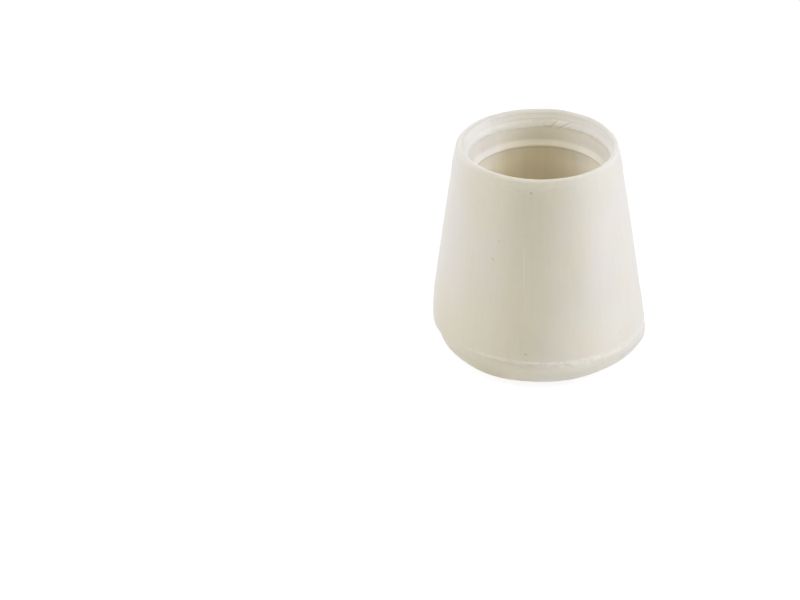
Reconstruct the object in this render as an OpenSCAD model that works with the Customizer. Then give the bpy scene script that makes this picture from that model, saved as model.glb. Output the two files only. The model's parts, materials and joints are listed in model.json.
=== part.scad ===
// Rubber foot for the end of a round leg.
// One moulding: a tapered sleeve with a widened mouth, closed below by a domed sole
// that stands on a tread ring. The two mould halves meet at the parting line.

/* [Sleeve] */
// Height from the ground to the top of the lip
foot_height = 38; // [34:1:50]
// Diameter at the parting line, where the sleeve ends
base_d = 35; // [34:0.5:42]
// Outside diameter across the lip
mouth_d = 27.4; // [26.6:0.2:31]
// Height of the parting line above the ground
parting_height = 5.8; // [5.5:0.1:7]
// Radius of the long curve that brings the flare upright at the parting line
flare_end_r = 48; // [20:1:60]

/* [Mouth] */
// Radius of the rounded lip
lip_r = 0.65; // [0.4:0.05:0.9]
// Depth of the lead-in's straight wall, from the top of the lip down to the bevel
lead_in_depth = 1.5; // [1.2:0.1:1.8]
// Depth of the edge under the bevel, where the mould's core is parted
step_depth = 2.6; // [2.2:0.1:3]
// Diameter of the mouth at that edge
step_d = 24.0; // [23.8:0.05:24.2]
// Depth of the widened mouth, from the top of the lip down to the shoulder
mouth_depth = 5.1; // [4.2:0.1:6]
// Diameter of the widened mouth at the shoulder
mouth_floor_d = 23.4; // [23:0.1:23.6]
// Height of the sloping shoulder between the widened mouth and the bore
shoulder_height = 0.9; // [0.5:0.1:2]

/* [Bore] */
// Diameter of the bore that grips the leg
bore_d = 22.2; // [18:0.1:22.4]
// Height of the bore's floor above the ground
bore_floor = 9; // [8:0.5:14]
// Radius of the corner between the bore and its floor
bore_corner_r = 1; // [0.4:0.1:2]

/* [Sole] */
// Distance by which the sole's mould half sits out of line with the sleeve's half
sole_shift = 0.8; // [0:0.1:1]
// Amount by which the sole's rim is narrower than the sleeve's, on the radius
sole_inset = 0.1; // [0:0.05:0.4]
// Radius of the domed edge of the sole
sole_edge_r = 4.7; // [3.5:0.1:4.8]
// Outside diameter of the tread ring
tread_d = 22.8; // [20:0.2:24]
// Width of the tread ring
tread_w = 1.9; // [1.5:0.1:3]
// Distance by which the tread ring stands below the dome
tread_drop = 0.4; // [0.2:0.1:0.6]
// Radius of the tread ring's edges
tread_edge_r = 0.3; // [0.1:0.05:0.5]
// Radius of the round groove outside the tread ring
groove_r = 0.9; // [0.6:0.1:1.2]
// Depth of the pan inside the tread ring
pan_depth = 1.8; // [1.2:0.1:2.4]
// Radius of the corner between the pan's wall and its roof
pan_corner_r = 0.7; // [0.3:0.1:1]
// Diameter of the shallow recess in the middle of the pan
recess_d = 9.4; // [7:0.2:12]
// Depth of the shallow recess above the pan
recess_depth = 0.8; // [0.4:0.1:1.2]

/* [Hidden] */
$fn = 128;

CREAM = [0.87, 0.85, 0.79];

base_r = base_d / 2;
bore_r = bore_d / 2;
// Centres of the lip's arc and of the arc that ends the flare, as [radius, height].
lip_at = [mouth_d / 2 - lip_r, foot_height - lip_r];
flare_at = [base_r - flare_end_r, parting_height];
// The flare's straight side is the line that touches both arcs from outside.
reach = lip_at - flare_at;
side_angle = atan2(reach[1], reach[0]) - acos((flare_end_r - lip_r) / norm(reach));
side_normal = [cos(side_angle), sin(side_angle)];
flare_top = flare_at + flare_end_r * side_normal;
// The mouth's corners going down: foot of the lead-in, edge, shoulder and bore.
lead_in_low = [lip_at[0] - lip_r, foot_height - lead_in_depth];
step_edge = [step_d / 2, foot_height - step_depth];
shoulder_top = [mouth_floor_d / 2, foot_height - mouth_depth];
bore_top = [bore_r, shoulder_top[1] - shoulder_height];

sole_r = base_r - sole_inset;
tread_r = tread_d / 2;
pan_r = tread_r - tread_w;
groove_at = [tread_r + groove_r, tread_drop];
// The sole's block reaches this far up into the sleeve's solid base.
overlap = 1;

// Half section of the sleeve: solid base, flared wall, rounded lip and widened mouth.
module sleeve_section() {
    polygon([
        [0, parting_height], [base_r, parting_height], flare_top,
        lip_at + lip_r * side_normal, lip_at, lip_at - [lip_r, 0], lead_in_low,
        step_edge, shoulder_top, bore_top, [bore_r, bore_floor], [0, bore_floor]
    ]);
    translate(lip_at) circle(lip_r);
    flare_end_section();
    corner_fill([bore_r, bore_floor], bore_corner_r);
}

// The arc that stands the flare upright, from the parting line to the straight side.
module flare_end_section() {
    intersection() {
        translate(flare_at) circle(flare_end_r);
        translate([bore_r, parting_height]) square([flare_end_r, flare_top[1] - parting_height]);
    }
}

// A concave fillet of radius r in the corner at the foot of a wall that stands at radius at[0].
module corner_fill(at, r) {
    difference() {
        translate([at[0] - r, at[1]]) square(r);
        translate([at[0] - r, at[1] + r]) circle(r);
    }
}

// Half section of the sole's block: rim, domed edge and flat underside.
module dome_section() {
    edge_at = [sole_r - sole_edge_r, tread_drop + sole_edge_r];
    translate(edge_at) circle(sole_edge_r);
    translate([0, edge_at[1]]) square([sole_r, parting_height - edge_at[1]]);
    translate([0, tread_drop]) square([edge_at[0], parting_height + overlap - tread_drop]);
}

// Half section of the tread ring, with both of its ground edges rounded.
module tread_section() {
    translate([pan_r, tread_edge_r]) square([tread_w, parting_height - tread_edge_r]);
    translate([pan_r + tread_edge_r, 0]) square([tread_w - 2 * tread_edge_r, parting_height]);
    for (r = [pan_r + tread_edge_r, tread_r - tread_edge_r])
        translate([r, tread_edge_r]) circle(tread_edge_r);
}

// Half section of the hollow inside the tread ring: pan with a round corner, and recess.
module pan_section() {
    difference() {
        square([pan_r, pan_depth]);
        translate([0, pan_depth]) mirror([0, 1]) corner_fill([pan_r, 0], pan_corner_r);
    }
    square([recess_d / 2, pan_depth + recess_depth]);
}

module sleeve() {
    rotate_extrude() sleeve_section();
}

module sole() {
    translate([sole_shift, 0, 0])
        rotate_extrude()
            difference() {
                union() {
                    difference() {
                        dome_section();
                        translate(groove_at) circle(groove_r);
                    }
                    tread_section();
                }
                pan_section();
            }
}

module foot() {
    color(CREAM) {
        sleeve();
        sole();
    }
}

foot();
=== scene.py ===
import json
import math

import bmesh
import bpy
from mathutils import Matrix, Vector, noise


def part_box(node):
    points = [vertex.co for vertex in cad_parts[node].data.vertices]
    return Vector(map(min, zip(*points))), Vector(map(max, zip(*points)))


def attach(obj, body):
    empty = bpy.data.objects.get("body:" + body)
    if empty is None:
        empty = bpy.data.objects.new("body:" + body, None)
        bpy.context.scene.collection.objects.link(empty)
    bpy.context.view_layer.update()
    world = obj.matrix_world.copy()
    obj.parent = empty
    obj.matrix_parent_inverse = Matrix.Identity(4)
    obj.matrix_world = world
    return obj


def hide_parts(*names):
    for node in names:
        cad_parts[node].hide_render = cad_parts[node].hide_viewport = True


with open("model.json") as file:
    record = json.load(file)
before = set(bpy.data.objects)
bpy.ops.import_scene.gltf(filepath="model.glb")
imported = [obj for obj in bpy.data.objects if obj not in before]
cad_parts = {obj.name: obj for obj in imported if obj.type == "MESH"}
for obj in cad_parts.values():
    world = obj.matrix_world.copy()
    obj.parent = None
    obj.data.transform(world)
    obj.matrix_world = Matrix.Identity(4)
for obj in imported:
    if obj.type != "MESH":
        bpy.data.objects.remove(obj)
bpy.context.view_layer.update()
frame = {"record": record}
scene = bpy.context.scene

# --- The foot ------------------------------------------------------------------------------
# One piece of off-white natural rubber with a white filler, pressed in a blasted steel mould of
# two halves, with a core for the bore. It is trimmed by hand at the lip and round the parting
# line, and pushed over the end of a leg, which it grips.

# Its half section has the corners and arcs of the mould. Heights are above the ground.
mm = 0.001
foot_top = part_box("foot")[1][2]
leg_bore = next(m for m in frame["record"]["mounts"] if m["name"] == "leg_bore")

bore_r = leg_bore["dims"]["r_mm"] * mm
bore_floor = 9 * mm
bore_corner_r = 1 * mm
bore_top = foot_top - 6 * mm
shoulder_top_r = 11.7 * mm
shoulder_top = foot_top - 5.1 * mm
step_edge_r = 12 * mm
step_edge_at = foot_top - 2.6 * mm
lead_in_r = 12.22 * mm
lead_in_low = foot_top - 1.5 * mm
lip_r = 0.65 * mm
lip_at_r = 13.05 * mm
lip_at = foot_top - lip_r
parting = 5.8 * mm
base_r = 17.5 * mm
flare_end_r = 48 * mm
rim_r = 17.4 * mm
dome_r = 4.7 * mm
tread_drop = 0.4 * mm
tread_r = 11.4 * mm
pan_r = 9.5 * mm
tread_edge_r = 0.3 * mm
groove_r = 0.9 * mm
pan_top = 1.8 * mm
pan_corner_r = 0.7 * mm
recess_r = 4.7 * mm
recess_top = 2.6 * mm

# The mesh gets finer steps along these stretches: down from the top of the bore and from the
# bevel, up from the parting line, and in degrees round the dome.
fine_bore = 5 * mm
fine_wall = 0.4 * mm
fine_flare = 1.4 * mm
fine_dome = 24

bm = bmesh.new()
tip = bm.verts.new((0, 0, bore_floor))


def line_to(r, z, steps):
    """Draws the half section on in a straight line to radius r and height z."""
    global tip
    start = tip.co.copy()
    for step in range(steps):
        tip = bmesh.ops.extrude_vert_indiv(bm, verts=[tip])["verts"][0]
        tip.co = start.lerp((r, 0, z), (step + 1) / steps)


def arc_about(r, z, degrees, steps):
    """Draws it on along an arc about radius r and height z, clockwise if positive."""
    global tip
    drawn = bmesh.ops.spin(
        bm, geom=[tip], cent=(r, 0, z), axis=(0, 1, 0), angle=math.radians(degrees), steps=steps
    )
    tip = drawn["geom_last"][0]


# The inside, from the floor of the bore up to the lip.
line_to(bore_r - bore_corner_r, bore_floor, 3)
arc_about(bore_r - bore_corner_r, bore_floor + bore_corner_r, -90, 4)
line_to(bore_r, bore_top - fine_bore, 5)
line_to(bore_r, bore_top, 8)
bore_edge = tip
line_to(shoulder_top_r, shoulder_top, 5)
shoulder_edge = tip
line_to(step_edge_r, step_edge_at - fine_wall, 8)
line_to(step_edge_r, step_edge_at, 4)
line_to(lead_in_r, lead_in_low, 11)
lip_foot = math.radians(22)
line_to(lip_at_r - lip_r * math.cos(lip_foot), lip_at + lip_r * math.sin(lip_foot), 8)

# Over the lip, and down the flare, which touches the lip's arc above and the long arc below
# that brings it upright at the parting line.
flare_reach = Vector((lip_at_r - base_r + flare_end_r, lip_at - parting))
flare_turn = math.atan2(flare_reach.y, flare_reach.x) - math.acos(
    (flare_end_r - lip_r) / flare_reach.length
)
flare_angle = math.degrees(flare_turn)
arc_about(lip_at_r, lip_at, 180 - math.degrees(lip_foot) - flare_angle, 17)
flare_top_r = base_r - flare_end_r * (1 - math.cos(flare_turn))
line_to(flare_top_r, parting + flare_end_r * math.sin(flare_turn), 44)
low_turn = math.degrees(fine_flare / flare_end_r)
arc_about(base_r - flare_end_r, parting, flare_angle - low_turn, 12)
arc_about(base_r - flare_end_r, parting, low_turn, 13)

# The sleeve's half of the mould ends here. Two small arcs lead in to the sole's narrower rim,
# which runs down into its dome, and the dome into a round groove outside the tread ring.
rim_foot = tread_drop + dome_r
rim_turn = 2 * math.atan((base_r - rim_r) / (parting - rim_foot))
rim_arc_r = (parting - rim_foot) / 2 / math.sin(rim_turn)
arc_about(base_r - rim_arc_r, parting, math.degrees(rim_turn), 6)
arc_about(rim_r + rim_arc_r, rim_foot, -math.degrees(rim_turn), 7)
groove_edge_r = tread_r + 2 * groove_r
dome_turn = math.degrees(math.acos((groove_edge_r - rim_r + dome_r) / dome_r))
arc_about(rim_r - dome_r, rim_foot, fine_dome, 12)
arc_about(rim_r - dome_r, rim_foot, dome_turn - fine_dome, 17)
line_to(groove_edge_r, tread_drop, 1)
arc_about(tread_r + groove_r, tread_drop, -180, 10)

# The tread ring stands on the ground. Inside it is a pan, with a recess in its roof.
line_to(tread_r, tread_edge_r, 1)
arc_about(tread_r - tread_edge_r, tread_edge_r, 90, 4)
line_to(pan_r + tread_edge_r, 0, 2)
arc_about(pan_r + tread_edge_r, tread_edge_r, 90, 4)
line_to(pan_r, pan_top - pan_corner_r, 2)
arc_about(pan_r - pan_corner_r, pan_top - pan_corner_r, -90, 4)
line_to(recess_r, pan_top, 3)
line_to(recess_r, recess_top, 2)
line_to(0, recess_top, 3)

# The mould's sharp corners come out a little round in rubber.
for edge, size in ((bore_edge, 0.08 * mm), (shoulder_edge, 0.32 * mm)):
    bmesh.ops.bevel(
        bm,
        geom=[edge],
        offset=size,
        offset_type="OFFSET",
        segments=3,
        profile=0.5,
        affect="VERTICES",
        material=-1,
    )

# One slice of the round is spun from the section, and the slice is then set out full circle.
slices = 24
slice_steps = 17
slice_turn = math.tau / slices
bmesh.ops.spin(
    bm,
    geom=bm.verts[:] + bm.edges[:],
    cent=(0, 0, 0),
    axis=(0, 0, 1),
    angle=slice_turn,
    steps=slice_steps,
)
bmesh.ops.spin(
    bm,
    geom=bm.verts[:] + bm.edges[:] + bm.faces[:],
    cent=(0, 0, 0),
    axis=(0, 0, 1),
    angle=math.tau - slice_turn,
    steps=slices - 1,
    use_duplicate=True,
)
bmesh.ops.remove_doubles(bm, verts=bm.verts, dist=1e-6)
bmesh.ops.recalc_face_normals(bm, faces=bm.faces)

# A moulding is never quite true to its drawing. What follows moves the points of the mesh a
# little from where the section put them.


def ease(value, low, high):
    """Runs smoothly from 0 where the value is at low to 1 where it is at high."""
    share = min(max((value - low) / (high - low), 0), 1)
    return share * share * (3 - 2 * share)


def hump(value, middle, reach):
    """A smooth hump, 1 at its middle and 0 from its reach on."""
    return 1 - ease(abs(value - middle), 0, reach)


def grain(place, size, seed):
    """Smooth noise between about -1 and 1 with lumps of the given size."""
    return noise.noise(place / size + Vector((seed, 3 * seed, 7 * seed)))


def stretches(turn, uneven):
    """How far uneven stretches stand out at a turn. Each is at a turn from +X, in degrees, with
    its half length, and stands out by so many mm."""
    return mm * sum(
        proud * hump((turn - at + 180) % 360 - 180, 0, reach) for at, reach, proud in uneven
    )


def cut_finer(faces):
    """Cuts the edges of some faces in two, and the faces with them."""
    chosen = set(faces)
    edges = [edge for edge in bm.edges if not chosen.isdisjoint(edge.link_faces)]
    bmesh.ops.subdivide_edges(bm, edges=edges, cuts=1, use_grid_fill=True)


# The bevel in the mouth carried flash, pulled off at the back in three slanting tears: each
# starts at an X on the bevel's foot and runs to the right as it climbs, in mm. The mesh is cut
# finer there, between two turns from +X.
bevel_tears = ((0.5, 1.35), (2.55, 0.85), (4.2, 1.45))
bevel_height = lead_in_low - step_edge_at
tears_from, tears_to = 38, 98
torn_faces = []
for face in bm.faces:
    middle = face.calc_center_median()
    turn = math.degrees(math.atan2(middle.y, middle.x))
    if tears_from < turn < tears_to and middle.xy.length < lip_at_r - lip_r + 0.1 * mm:
        if step_edge_at - 1.1 * mm < middle.z < lead_in_low + 0.2 * mm:
            torn_faces.append(face)
cut_finer(torn_faces)

# Each point with the place where it was drawn, the way outwards there, and its turn from +X.
outside = []
inside = []
underside = []
for vert in bm.verts:
    spot = vert.co.copy()
    out = Vector((spot.x, spot.y, 0)).normalized()
    point = (vert, spot, out, math.degrees(math.atan2(spot.y, spot.x)))
    if spot.xy.length > lip_at_r:
        outside.append(point)
    elif spot.z > parting:
        inside.append(point)
    else:
        underside.append(point)

# The two halves of the mould do not line up: the sole sits towards +X of the sleeve. Where
# they do not meet flush, the rubber slopes from one to the other, shortly on the left, and on
# the right over a good part of the sleeve's foot. The sole's dome and rim are not quite round.
sole_shift = 0.8 * mm
dome_uneven = ((18, 30, -0.08), (-50, 27, -0.31), (-121, 22, 0.22), (-150, 14, -0.07))
dome_full_r = 15 * mm
rim_uneven = ((-12, 20, 0.34),)
rim_middle = 3.6 * mm
rim_reach = 1.8 * mm
for vert, spot, out, turn in outside:
    right = max(0, out.x)
    slope_foot = parting - (1.9 + 0.5 * right) * mm
    slope_top = parting + (0.6 + 0.2 * out.x) * mm
    sole = 1 - ease(spot.z, slope_foot, slope_top)
    long_slope = 1 - ease(spot.z, parting - 0.3 * mm, parting + 6.2 * mm)
    sole += 0.5 * right * (long_slope - sole)
    vert.co.x += sole_shift * sole
    dome = sole * ease(spot.xy.length, groove_edge_r, dome_full_r)
    vert.co += out * dome * stretches(turn, dome_uneven)
    vert.co += out * hump(spot.z, rim_middle, rim_reach) * stretches(turn, rim_uneven)
for vert, spot, out, turn in underside:
    vert.co.x += sole_shift

# The core that leaves the bore sits a little towards +X as well, from the bore's floor up.
core_shift = 0.3 * mm
for vert, spot, out, turn in inside:
    vert.co.x += core_shift * ease(spot.z, bore_floor, bore_floor + 6 * mm)
for vert, spot, out, turn in outside:
    if spot.z > lip_at:
        vert.co.x += core_shift * (1 - ease(spot.xy.length, lip_at_r, lip_at_r + lip_r))

# The sleeve's long side is a little full at its middle and near the top, and drawn in at the
# parting line, less so at the sides. The lip is worn rounder than the mould left it, on the
# outside most at the front. Inside, the lead-in and the top of the bore are worn a little wide.
side_full = 0.1 * mm
neck_at, neck_reach, neck_full = 34.4 * mm, 2.4 * mm, 0.09 * mm
waist_reach, waist_side, waist_front = 3 * mm, 0.021 * mm, 0.119 * mm
lip_wear_at, lip_wear_reach, lip_wear, lip_wear_front = 37.4 * mm, 1.1 * mm, 0.07 * mm, 0.05 * mm
lead_in_wear_at, lead_in_wear_reach, lead_in_wear = 37.45 * mm, 0.9 * mm, 0.09 * mm
bore_wear_reach, bore_wear = 2.5 * mm, 0.1 * mm
bead_at = parting - 0.25 * mm
for vert, spot, out, turn in outside:
    climb = min(max((spot.z - parting) / (lip_at - parting), 0), 1)
    full = side_full * max(0, math.sin(math.pi * climb))
    full += neck_full * hump(spot.z, neck_at, neck_reach)
    full -= (waist_side + waist_front * out.y**2) * hump(spot.z, bead_at, waist_reach)
    worn = lip_wear + lip_wear_front * max(0, -out.y)
    vert.co += out * (full - worn * hump(spot.z, lip_wear_at, lip_wear_reach))
for vert, spot, out, turn in inside:
    vert.co += out * lead_in_wear * hump(spot.z, lead_in_wear_at, lead_in_wear_reach)
    vert.co += out * bore_wear * hump(spot.z, bore_top, bore_wear_reach)

# A bead of trimmed flash runs round the parting line. It is lost on the left, and on the right
# it is broader and falls a little before it climbs again. The rim below it is torn rough.
bead_slope = -0.05
bead_climb_from = 12.4 * mm
bead_climb = 0.15
bead_reach = 0.5 * mm
bead_proud = 0.15 * mm
torn_at = parting - 0.9 * mm
torn_reach = 0.7 * mm
torn_deep = 0.1 * mm
for vert, spot, out, turn in outside:
    broad = ease(out.x, 0.2, 0.75)
    bead_line = bead_at + bead_slope * spot.x + bead_climb * max(0, spot.x - bead_climb_from)
    bead = hump(spot.z, bead_line, bead_reach * (1 + 0.6 * broad))
    bead *= ease(out.x, -0.8, -0.4) * (1 - 0.3 * broad)
    lumps = 0.85 + 0.25 * grain(spot, 0.9 * mm, 1) + 0.35 * grain(spot, 2 * mm, 5)
    vert.co += out * bead_proud * bead * lumps
    torn = hump(spot.z, torn_at, torn_reach) * ease(-out.y, -0.2, 0.9) * (1 - 0.85 * broad)
    vert.co += out * torn_deep * torn * grain(spot, 0.6 * mm, 3)

# The bevel is slightly full and lumpy. Each tear in it is a groove with a lifted edge, its foot
# is rippled where the flash came off, and the wall below is scuffed beside the tears.
bevel_full = 0.04 * mm
tear_reach = 0.34 * mm
tear_deep = 0.065 * mm
ripple_deep = 0.06 * mm
scuff_deep = 0.12 * mm
for vert, spot, out, turn in inside:
    up = (spot.z - step_edge_at) / bevel_height
    if 0 < up < 1:
        vert.co -= out * bevel_full * math.sin(math.pi * up) * (1 + 0.8 * grain(spot, 1.2 * mm, 2))
    for foot_x, run in bevel_tears:
        beside = spot.x - (foot_x + run * up) * mm
        tear = hump(beside, 0, tear_reach) - 0.5 * hump(beside, -0.45 * mm, 0.4 * mm)
        vert.co += out * tear_deep * tear * hump(up, 0.15, 0.95) * (spot.y > 0)
    slant = Vector(((spot.x - 1.5 * spot.z) / (0.45 * mm), spot.z / (2.5 * mm), 4))
    ripple = hump(spot.z, step_edge_at + 0.4 * mm, 0.8 * mm) * min(1, 1.8 * hump(turn, 78, 30))
    vert.co += out * ripple_deep * ripple * noise.noise(slant)
    scuff = hump(spot.z, step_edge_at - 0.35 * mm, 0.4 * mm) * hump(turn, 54, 16)
    vert.co += out * scuff_deep * scuff * grain(spot, 0.4 * mm, 6)

# The lip was trimmed unevenly and a shade lower towards +X.
lip_uneven = ((25, 26, -0.19), (76, 14, 0.18), (130, 14, 0.12), (-50, 35, 0.12), (-125, 35, -0.2))
lip_tilt = 0.003
trim_foot, trim_top = 30 * mm, 36 * mm
for vert, spot, out, turn in outside + inside:
    near_lip = ease(spot.z, trim_foot, trim_top)
    vert.co += out * near_lip * stretches(turn, lip_uneven)
    vert.co.z -= lip_tilt * (spot.x + lip_at_r + lip_r) * near_lip

# Air trapped in the mould has left a few pits in the sleeve: each has a place and a radius in
# mm, and how much darker it is painted. The mesh is cut finer round a pit, twice.
pits = (
    (-1.22, -13.88, 35.85, 0.3, 0.3),
    (-1.16, -14.0, 34.99, 0.24, 0.12),
    (-6.5, -13.79, 26.8, 0.24, 0.13),
    (-7.55, -13.73, 23.45, 0.28, 0.17),
    (-2.2, -17.27, 7.4, 0.3, 0.22),
    (-2.2, -14.87, 28.08, 0.2, 0.06),
    (13.45, -11.1, 8.18, 0.24, 0.05),
)
pit_deep = 0.45
pit_spread = 1.2
for *at, reach, pit_dark in pits:
    at = Vector(at) * mm
    for margin in (0.6 * mm, 0.3 * mm):
        around = reach * mm + margin
        cut_finer([face for face in bm.faces if (face.calc_center_median() - at).length < around])
    for vert in bm.verts:
        away = (vert.co - at).length
        if away < pit_spread * reach * mm:
            inward = Vector((vert.co.x, vert.co.y, 0)).normalized()
            vert.co -= inward * pit_deep * reach * mm * hump(away, 0, pit_spread * reach * mm)

for face in bm.faces:
    face.smooth = True

foot_mesh = bpy.data.meshes.new("rubber_foot")
bm.to_mesh(foot_mesh)
bm.free()
rubber_foot = bpy.data.objects.new("rubber_foot", foot_mesh)
scene.collection.objects.link(rubber_foot)

# The rubber has a matt cream skin from the mould, with a little bloom and a faint sheen.
rubber = bpy.data.materials.new("cream_rubber")
rubber.use_nodes = True
nodes = rubber.node_tree.nodes
links = rubber.node_tree.links
skin = nodes["Principled BSDF"]
skin.inputs["Sheen Weight"].default_value = 0.3
skin.inputs["Sheen Roughness"].default_value = 0.5

# The helpers here add to whichever tree nodes and links stand for.


def put(slot, value):
    """Sets a node's input, or links it where the value is another node's output."""
    if isinstance(value, bpy.types.NodeSocket):
        links.new(value, slot)
    else:
        slot.default_value = value


def number(operation, *values):
    """A Math node; gives its output."""
    node = nodes.new("ShaderNodeMath")
    node.operation = operation
    for slot, value in zip(node.inputs, values):
        put(slot, value)
    return node.outputs[0]


def times(product, *others):
    """All the values multiplied together."""
    for other in others:
        product = number("MULTIPLY", product, other)
    return product


def plus(total, *others):
    """All the values added together."""
    for other in others:
        total = number("ADD", total, other)
    return total


def rest_of(share):
    """What a share leaves of the whole."""
    return number("SUBTRACT", 1.0, share)


def off(value, middle):
    """How far a value is from a middle, to either side."""
    return number("ABSOLUTE", number("SUBTRACT", value, middle))


def vector(operation, *values):
    """A Vector Math node; gives its vector, or its number for a length or a distance."""
    node = nodes.new("ShaderNodeVectorMath")
    node.operation = operation
    for slot, value in zip(node.inputs, values):
        put(slot, value)
    return node.outputs["Value" if operation in ("LENGTH", "DISTANCE") else "Vector"]


def span(value, low, high, at_low=0.0, at_high=1.0):
    """Runs smoothly from at_low where the value is low to at_high where it is high."""
    node = nodes.new("ShaderNodeMapRange")
    node.interpolation_type = "SMOOTHSTEP"
    slots = ("Value", "From Min", "From Max", "To Min", "To Max")
    for slot, setting in zip(slots, (value, low, high, at_low, at_high)):
        put(node.inputs[slot], setting)
    return node.outputs["Result"]


def fade(value, low, high, at_low=0.0, at_high=1.0):
    """The same as span, with low and high in mm."""
    return span(value, low * mm, high * mm, at_low, at_high)


def clouds(place, size, detail=2.0, rough=0.5):
    """Noise with lumps of a size in metres; 0.5 on the whole."""
    node = nodes.new("ShaderNodeTexNoise")
    put(node.inputs["Vector"], place)
    node.inputs["Scale"].default_value = 1 / size
    node.inputs["Detail"].default_value = detail
    node.inputs["Roughness"].default_value = rough
    return node.outputs["Fac"]


def blend(share, first, second):
    """A share of the second colour over the first."""
    node = nodes.new("ShaderNodeMix")
    node.data_type = "RGBA"
    put(node.inputs["Factor"], share)
    put(node.inputs["A"], first)
    put(node.inputs["B"], second)
    return node.outputs["Result"]


place = nodes.new("ShaderNodeTexCoord").outputs["Object"]
axes = nodes.new("ShaderNodeSeparateXYZ")
links.new(place, axes.inputs[0])
across = axes.outputs["X"]
backward = axes.outputs["Y"]
height = axes.outputs["Z"]
from_middle = number("ABSOLUTE", across)

# The zones that the colours go by: the front and the right side, the inside about the core's
# axis, its far wall, the part of it under the bevel, and the bore, where shade is painted.
front = fade(backward, -8, -10)
right_side = fade(across, 2, 13)
from_core = vector("SUBTRACT", place, (core_shift, 0, 0))
from_axis = vector("LENGTH", vector("MULTIPLY", from_core, (1, 1, 0)))
in_mouth = fade(from_axis, 13.5, 12.9)
far_wall = fade(backward, 0, 4)
under_bevel = times(in_mouth, span(height, step_edge_at + 0.1 * mm, step_edge_at - 0.2 * mm))
in_bore = fade(from_axis, 11.6, 11.3)
bore_shade_zone = times(in_bore, span(height, bore_top + 0.27 * mm, bore_top - 0.03 * mm))

# The mix is never quite even: wide faint clouds, a finer mottle, and streaks up the mould's wall.
wide = clouds(place, 7 * mm, 2)
fine = clouds(place, 0.8 * mm, 3, 0.6)
streaks = clouds(vector("MULTIPLY", place, (1, 1, 0.04)), 0.7 * mm, 2)
warm_cream = (0.75, 0.682, 0.56, 1)
cool_cream = (0.74, 0.688, 0.59, 1)
body = blend(span(wide, 0.3, 0.7), warm_cream, cool_cream)
tone = plus(0.955, times(0.05, fine), times(0.05, streaks))

# The bore is painted yellower and darker, as the warm shade that bounces about inside it, deepest
# in the middle of its far wall, and so is a little of the wall above it. Painted light makes the
# inside paler towards its sides.
bore_cream = (0.74, 0.655, 0.49, 1)
deep_cream = (0.72, 0.62, 0.4, 1)
pale_cream = (0.845, 0.815, 0.79, 1)
wall_shade = times(0.2, under_bevel, rest_of(fade(from_middle, 7, 11.5)))
body = blend(number("MAXIMUM", bore_shade_zone, wall_shade), body, bore_cream)
body = blend(times(0.3, in_mouth, fade(from_middle, 4.5, 8)), body, pale_cream)
off_bore_middle = off(across, 0.8 * mm)
body = blend(times(0.3, bore_shade_zone, far_wall, fade(off_bore_middle, 4, 1.5)), body, deep_cream)

# The lead-in was trimmed, down to a ragged edge at the bevel's foot that hangs a little lower
# left of the middle. In the three tears the darker skin shows.
ragged = number("MULTIPLY_ADD", clouds(place, 1.1 * mm, 3, 0.65), 1.2 * mm, -0.6 * mm)
hanging = times(0.25 * mm, fade(off(across, -3.5 * mm), 5.5, 3.5))
edge_height = plus(height, ragged, hanging)
lead_in_cut = times(
    in_mouth,
    span(edge_height, step_edge_at - 0.1 * mm, step_edge_at + 0.08 * mm),
    span(height, foot_top - 0.12 * mm, foot_top - 0.45 * mm),
)
tears = 0.0
for foot_x, run in bevel_tears:
    lean = run * mm / bevel_height
    tear_x = number("MULTIPLY_ADD", height, lean, core_shift + foot_x * mm - lean * step_edge_at)
    wavering = number("MULTIPLY_ADD", fine, -0.3 * mm, plus(tear_x, 0.15 * mm))
    tears = number("MAXIMUM", tears, fade(off(across, wavering), 0.34, 0.04, 0, 0.45))
tears_top = span(height, step_edge_at + 1.05 * mm, step_edge_at + 0.7 * mm)
lead_in_cut = times(lead_in_cut, rest_of(times(tears, tears_top, fade(backward, 8, 9))))

# The flash and the torn band round the parting line are cut too, apart from the far left. The
# band follows the bead; on the right it is broader, higher and less ragged, with a soft edge.
climbed = number("MAXIMUM", number("SUBTRACT", across, bead_climb_from), 0.0)
band_middle = number("MULTIPLY_ADD", across, bead_slope, bead_at)
band_middle = number("MULTIPLY_ADD", climbed, bead_climb, band_middle)
band_middle = number("MULTIPLY_ADD", right_side, 0.25 * mm, band_middle)
ragged_height = number("MULTIPLY_ADD", ragged, span(right_side, 0.3, 1, 1, 0.45), height)
from_band = number("MULTIPLY_ADD", right_side, -0.1 * mm, off(ragged_height, band_middle))
band_edge = span(right_side, 0.3, 1, 0.3 * mm, 0)
parting_cut = times(
    span(from_band, 0.75 * mm, band_edge),
    span(right_side, 0.4, 1, 1, 0.75),
    fade(across, -14, -10.5),
    span(fine, 0.35, 0.6, 0.2, 0.9),
)

# Cut and torn rubber is whiter than the skin, and whitest in the bevel. On the mouth's left side,
# which faces the right panel, it is painted whiter still, as light. The lead-in is cooler on the
# right.
torn_white = (0.845, 0.805, 0.73, 1)
fresh_white = (0.95, 0.91, 0.84, 1)
cool_white = (0.8, 0.79, 0.95, 1)
cut = number("MAXIMUM", lead_in_cut, parting_cut)
in_bevel = times(0.55, in_mouth, span(height, lead_in_low + 0.1 * mm, lead_in_low - 0.25 * mm))
left_side_light = times(0.3, in_mouth, fade(across, -7, -11.5))
torn = blend(number("MAXIMUM", left_side_light, in_bevel), torn_white, fresh_white)
body = blend(times(0.75, cut), body, torn)
body = blend(times(0.12, lead_in_cut, fade(across, 2, 6)), body, cool_white)
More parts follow.
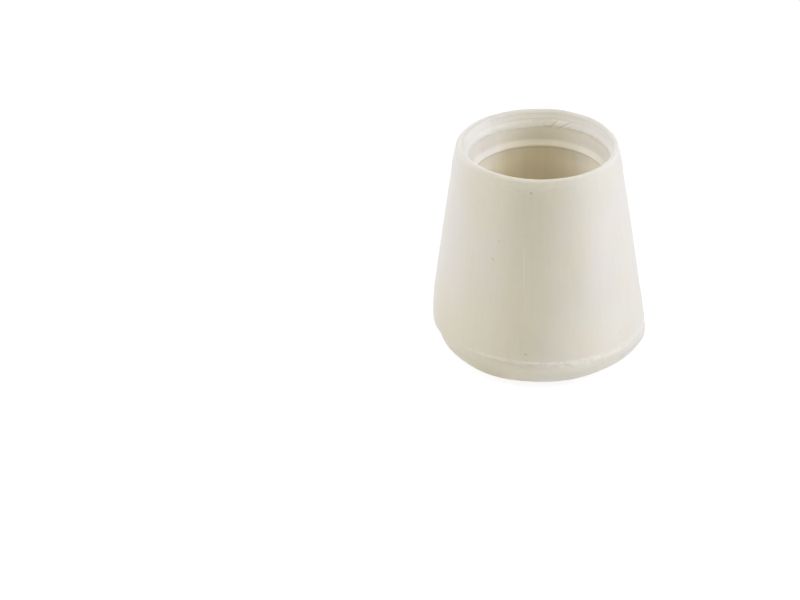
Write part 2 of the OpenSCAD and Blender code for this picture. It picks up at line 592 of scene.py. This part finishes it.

# The pits are painted darker, and a line of painted shade runs in the seam where the bore starts.
dark_brown = (0.3, 0.22, 0.12, 1)
seam_low = span(height, bore_top - 0.55 * mm, bore_top - 0.25 * mm)
pit_dark_and_seam_shade = times(0.25, in_bore, seam_low, span(height, bore_top - 0.03 * mm, bore_top - 0.15 * mm))
for *at, reach, pit_dark in pits:
    away = vector("DISTANCE", place, Vector(at) * mm)
    pit_dark_and_seam_shade = number("MAXIMUM", pit_dark_and_seam_shade, fade(away, 1.3 * reach, 0.2 * reach, 0, pit_dark))
body = blend(pit_dark_and_seam_shade, body, dark_brown)

# The left underside of the sole is painted darker and browner, as shade, and the lower left of the
# sleeve is a little yellower. Painted shade runs down the middle of the front, and a painted sheen
# lies towards both edges, on the right only half way up.
shade_brown = (0.58, 0.5, 0.34, 1)
yellower_cream = (0.74, 0.66, 0.48, 1)
front_shade_cream = (0.685, 0.63, 0.465, 1)
sheen_white = (0.82, 0.76, 0.745, 1)
under_sole = span(height, parting, parting - 2.2 * mm)
body = blend(times(0.45, under_sole, fade(across, -4.5, -10)), body, shade_brown)
body = blend(times(0.5, fade(height, 26, 8), fade(across, 2, -7)), body, yellower_cream)
front_shade = times(0.3, front, fade(off(across, -1.6 * mm), 4.8, 1.5))
front_shade = times(front_shade, fade(height, 6.5, 9), fade(height, 37, 35))
body = blend(front_shade, body, front_shade_cream)
left_sheen = times(fade(across, -11, -13.5), fade(height, 8, 18))
right_sheen = times(fade(off(across, 10.2 * mm), 3.2, 1), fade(height, 31.5, 28))
right_sheen = times(right_sheen, fade(height, 13, 20))
painted_sheen = times(0.26, number("MAXIMUM", left_sheen, right_sheen), rest_of(in_mouth))
body = blend(painted_sheen, body, sheen_white)

# Rubbing has left short level scuffs under the front of the lip, and the mould a fine line down
# the front. High up, the front is painted a little darker, as shade.
rubbed = clouds(vector("MULTIPLY", place, (0.25, 0.25, 1)), 0.3 * mm, 2)
scuffs = times(0.15, number("SUBTRACT", rubbed, 0.5), front)
scuffs = times(scuffs, fade(height, 35.2, 35.8), fade(across, 6, 2))
line_x = number("MULTIPLY_ADD", height, -0.019, -2 * mm)
line = times(0.045, front, fade(off(across, line_x), 0.2, 0.05))
line = times(line, fade(height, 14, 15), fade(height, 26.8, 25))
front_top_shade = times(fade(height, 20, 35, -0.01, -0.06), fade(height, 37.4, 36.2))
front_top_shade = times(front_top_shade, front, fade(from_middle, 9, 1))
tone = plus(tone, scuffs, line, front_top_shade)

# Low on the right the sleeve is painted a little lighter, as light, and so is the sole along its
# front, but for a faint painted shadow under the broad end of the torn band.
low_right_light = times(0.08, fade(height, 19, 6), fade(across, -2, 6), fade(across, 16.5, 11.5))
sole_front_light = times(
    span(height, parting - 0.7 * mm, parting - 1.7 * mm),
    fade(across, -8, -3),
    fade(across, 0, 7, 0.09, 0.03),
)
under_band_shadow = times(-0.06, fade(off(height, 3.95 * mm), 0.9, 0.3), fade(across, 8, 11))
tone = plus(tone, low_right_light, sole_front_light, under_band_shadow)

# Painted light and shade: the bore's far wall is lighter towards its sides, but for a shade right
# of its middle, and darker at its top. The whole inside is lighter left of the middle and darker at
# the far left.
bore_light_and_shade = plus(
    times(fade(from_middle, 1.5, 5.5), fade(height, 31.5, 28.8, -0.05, 0.09)),
    fade(from_middle, 4, 9, -0.07, 0.14),
    fade(height, 29.6, 31.4, 0, -0.06),
    fade(off_bore_middle, 4, 1.5, 0.03, 0.015),
    fade(off(across, 7.5 * mm), 2.1, 0.8, 0, -0.08),
)
left_light_and_shade = plus(
    fade(off(across, -4.9 * mm), 3.5, 1.5, 0, 0.05), fade(off(across, -8 * mm), 1.8, 0.8, 0, -0.065)
)
tone = plus(tone, times(bore_light_and_shade, bore_shade_zone, far_wall), times(left_light_and_shade, under_bevel, far_wall))

# Painted shade: the shoulder above the bore is darker at its sides, the wall above the shoulder a
# touch darker in the middle, and a fine dark line runs where the lead-in meets the bevel.
on_shoulder = times(in_mouth, span(height, shoulder_top + 0.2 * mm, shoulder_top - 0.1 * mm))
shoulder = times(-0.08, on_shoulder, rest_of(bore_shade_zone), fade(from_middle, 3, 8))
wall = times(
    -0.015,
    in_mouth,
    span(height, step_edge_at, step_edge_at - 0.4 * mm),
    span(height, shoulder_top - 0.1 * mm, shoulder_top + 0.2 * mm),
    fade(from_middle, 6, 3),
)
bevel_shade_line = fade(off(height, lead_in_low + 0.08 * mm), 0.2, 0.05)
tone = plus(tone, shoulder, wall, times(-0.06, in_mouth, bevel_shade_line, fade(from_middle, 6, 3)))

# The tone makes the colour lighter or darker without changing its hue.
toned = nodes.new("ShaderNodeHueSaturation")
put(toned.inputs["Value"], tone)
put(toned.inputs["Color"], body)
links.new(toned.outputs["Color"], skin.inputs["Base Color"])

# The skin is matt, and duller where it is cut. A blasted mould leaves a fine grain, and the cut
# rubber is coarser.
put(skin.inputs["Roughness"], plus(span(fine, 0.3, 0.7, 0.46, 0.54), times(0.15, cut)))
relief = nodes.new("ShaderNodeBump")
relief.inputs["Strength"].default_value = 1
relief.inputs["Distance"].default_value = 0.02 * mm
grit = clouds(place, 0.25 * mm, 3, 0.6)
put(relief.inputs["Height"], times(grit, number("MULTIPLY_ADD", cut, 1.3, 1.0)))
links.new(relief.outputs["Normal"], skin.inputs["Normal"])
foot_mesh.materials.append(rubber)

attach(rubber_foot, "root")
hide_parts("foot")

# --- The ground ----------------------------------------------------------------------------
# A plain white paper sheet that the foot stands on. It runs on past the view on every side, and
# lies a hair under the tread, so that the two faces do not meet.

sheet_reach = 1.5
sheet_gap = 0.01 * mm
sheet_bm = bmesh.new()
bmesh.ops.create_grid(sheet_bm, x_segments=1, y_segments=1, size=sheet_reach)
bmesh.ops.translate(sheet_bm, vec=(0, 0, -sheet_gap), verts=sheet_bm.verts)
sheet_mesh = bpy.data.meshes.new("white_sheet")
sheet_bm.to_mesh(sheet_mesh)
sheet_bm.free()
white_sheet = bpy.data.objects.new("white_sheet", sheet_mesh)
scene.collection.objects.link(white_sheet)

paper = bpy.data.materials.new("white_paper")
paper.use_nodes = True
nodes = paper.node_tree.nodes
links = paper.node_tree.links
matt = nodes["Principled BSDF"]
matt.inputs["Base Color"].default_value = (0.85, 0.85, 0.85, 1)
matt.inputs["Roughness"].default_value = 0.9


def seen_white():
    """1 for what is seen, straight, in a gloss or through glass, and 0 for light cast on things."""
    path = nodes.new("ShaderNodeLightPath")
    direct = number("MAXIMUM", path.outputs["Is Camera Ray"], path.outputs["Is Glossy Ray"])
    return number("MAXIMUM", direct, path.outputs["Is Transmission Ray"])


# Seen from the camera the sheet glows almost white, and only its last part comes from the
# lamps, so that the foot's own shadow stays faint.
glow = nodes.new("ShaderNodeEmission")
glow.inputs["Strength"].default_value = 0.91
thin = nodes.new("ShaderNodeBsdfDiffuse")
thin.inputs["Color"].default_value = (0.15, 0.15, 0.15, 1)
both = nodes.new("ShaderNodeAddShader")
links.new(glow.outputs[0], both.inputs[0])
links.new(thin.outputs[0], both.inputs[1])
choice = nodes.new("ShaderNodeMixShader")
links.new(seen_white(), choice.inputs[0])
links.new(matt.outputs[0], choice.inputs[1])
links.new(both.outputs[0], choice.inputs[2])
links.new(choice.outputs[0], nodes["Material Output"].inputs["Surface"])
sheet_mesh.materials.append(paper)

# --- Light ---------------------------------------------------------------------------------
# A white tent: plain white wherever it is seen, with little light of its own, and soft panels
# on both sides of the foot, in front of it and behind it.

tent = bpy.data.worlds.new("white_tent")
tent.use_nodes = True
nodes = tent.node_tree.nodes
links = tent.node_tree.links
nodes["Background"].inputs["Color"].default_value = (1, 1, 1, 1)
tent_light = 0.02
tent_strength = number("MULTIPLY_ADD", seen_white(), 1 - tent_light, tent_light)
put(nodes["Background"].inputs["Strength"], tent_strength)
scene.world = tent

foot_middle = Vector((0, 0, foot_top / 2))
panel_away = 0.5
panel_width = 0.36
panel_height = 0.18


def add_panel(name, turn, climb, color, power):
    """Hangs a soft panel that faces the foot, at a turn from +X and a climb, both in degrees."""
    turn = math.radians(turn)
    climb = math.radians(climb)
    level = Vector((math.cos(turn), math.sin(turn), 0))
    away = level * math.cos(climb) + Vector((0, 0, math.sin(climb)))
    light = bpy.data.lights.new(name, "AREA")
    light.shape = "RECTANGLE"
    light.size = panel_width
    light.size_y = panel_height
    light.color = color
    light.energy = power
    panel = bpy.data.objects.new(name, light)
    panel.location = foot_middle + away * panel_away
    panel.rotation_euler = away.to_track_quat("Z", "Y").to_euler()
    scene.collection.objects.link(panel)


add_panel("right_panel", 0, 28, (0.74, 0.795, 1), 2.19)
add_panel("left_panel", 180, 30, (0.905, 0.93, 1), 1.46)
add_panel("front_panel", 270, 55, (1, 1, 0.88), 0.85)
add_panel("front_right_panel", 315, 30, (1, 0.96, 0.4), 0.21)
add_panel("back_panel", 115, 27, (0.88, 0.95, 1), 0.78)

# --- Camera --------------------------------------------------------------------------------
# A long lens on a stand in front of the foot, looking down on it. The foot stands right of the
# middle of the view. The turns are in degrees, the distances in metres.

view_climb = 27.91
view_roll = -0.38
view_distance = 1.575
aim = Vector((-0.02305, 0.00361, 0.00681))

camera = bpy.data.objects.new("camera", bpy.data.cameras.new("camera"))
camera.data.sensor_width = 36
camera.data.lens = 420.15
camera.data.clip_start = 0.1
toward = Vector((0, -math.cos(math.radians(view_climb)), math.sin(math.radians(view_climb))))
camera.location = aim + toward * view_distance
upright = toward.to_track_quat("Z", "Y").to_matrix()
camera.rotation_euler = (Matrix.Rotation(math.radians(view_roll), 3, toward) @ upright).to_euler()
scene.collection.objects.link(camera)
scene.camera = camera
scene.view_settings.view_transform = "Standard"
